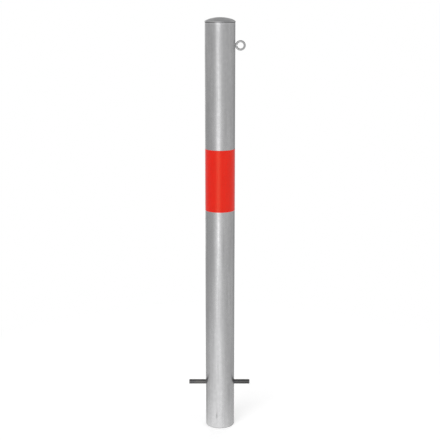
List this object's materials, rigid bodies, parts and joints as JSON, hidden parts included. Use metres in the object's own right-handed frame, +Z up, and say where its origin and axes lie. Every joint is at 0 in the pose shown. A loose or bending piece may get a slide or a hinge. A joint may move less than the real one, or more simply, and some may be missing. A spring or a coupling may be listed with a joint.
{
  "type": "steel safety bollard",
  "caption": "Round galvanised steel post for setting in the ground, with a welded domed top, a red reflective band, a side chain eye and a loose cross bar near the foot.",
  "frame": {"origin": "centre of the tube's open foot, in the plane that it stands on", "axes": "+Z up the tube; +X towards the chain eye and along the anchor rod; -Y towards the front"},
  "size_m": [0.19, 0.0904, 1.265],
  "materials": {
    "galvanised_tube": "hot-dip zinc, semi-gloss, faintly mottled",
    "galvanised_cap": "hot-dip zinc on pressed sheet, a little duller",
    "galvanised_weld": "hot-dip zinc over rippled weld metal",
    "galvanised_eye": "hot-dip zinc on bent round bar",
    "black_steel": "black mill scale, as rolled, sheared ends",
    "red_film": "retro-reflective film with a fine cell pattern"
  },
  "bodies": {
    "post": {"post_tube": "galvanised_tube", "domed_cap": "galvanised_cap", "cap_weld": "galvanised_weld", "chain_eye": "galvanised_eye", "eye_weld": "galvanised_weld", "reflective_band": "red_film"},
    "anchor_rod": {"anchor_rod": "black_steel"}
  },
  "joints": [
    {"name": "anchor_rod_slide", "type": "slide", "parent": "post", "child": "anchor_rod", "axis": [1, 0, 0], "range_m": [-0.0485, 0.0525]}
  ]
}
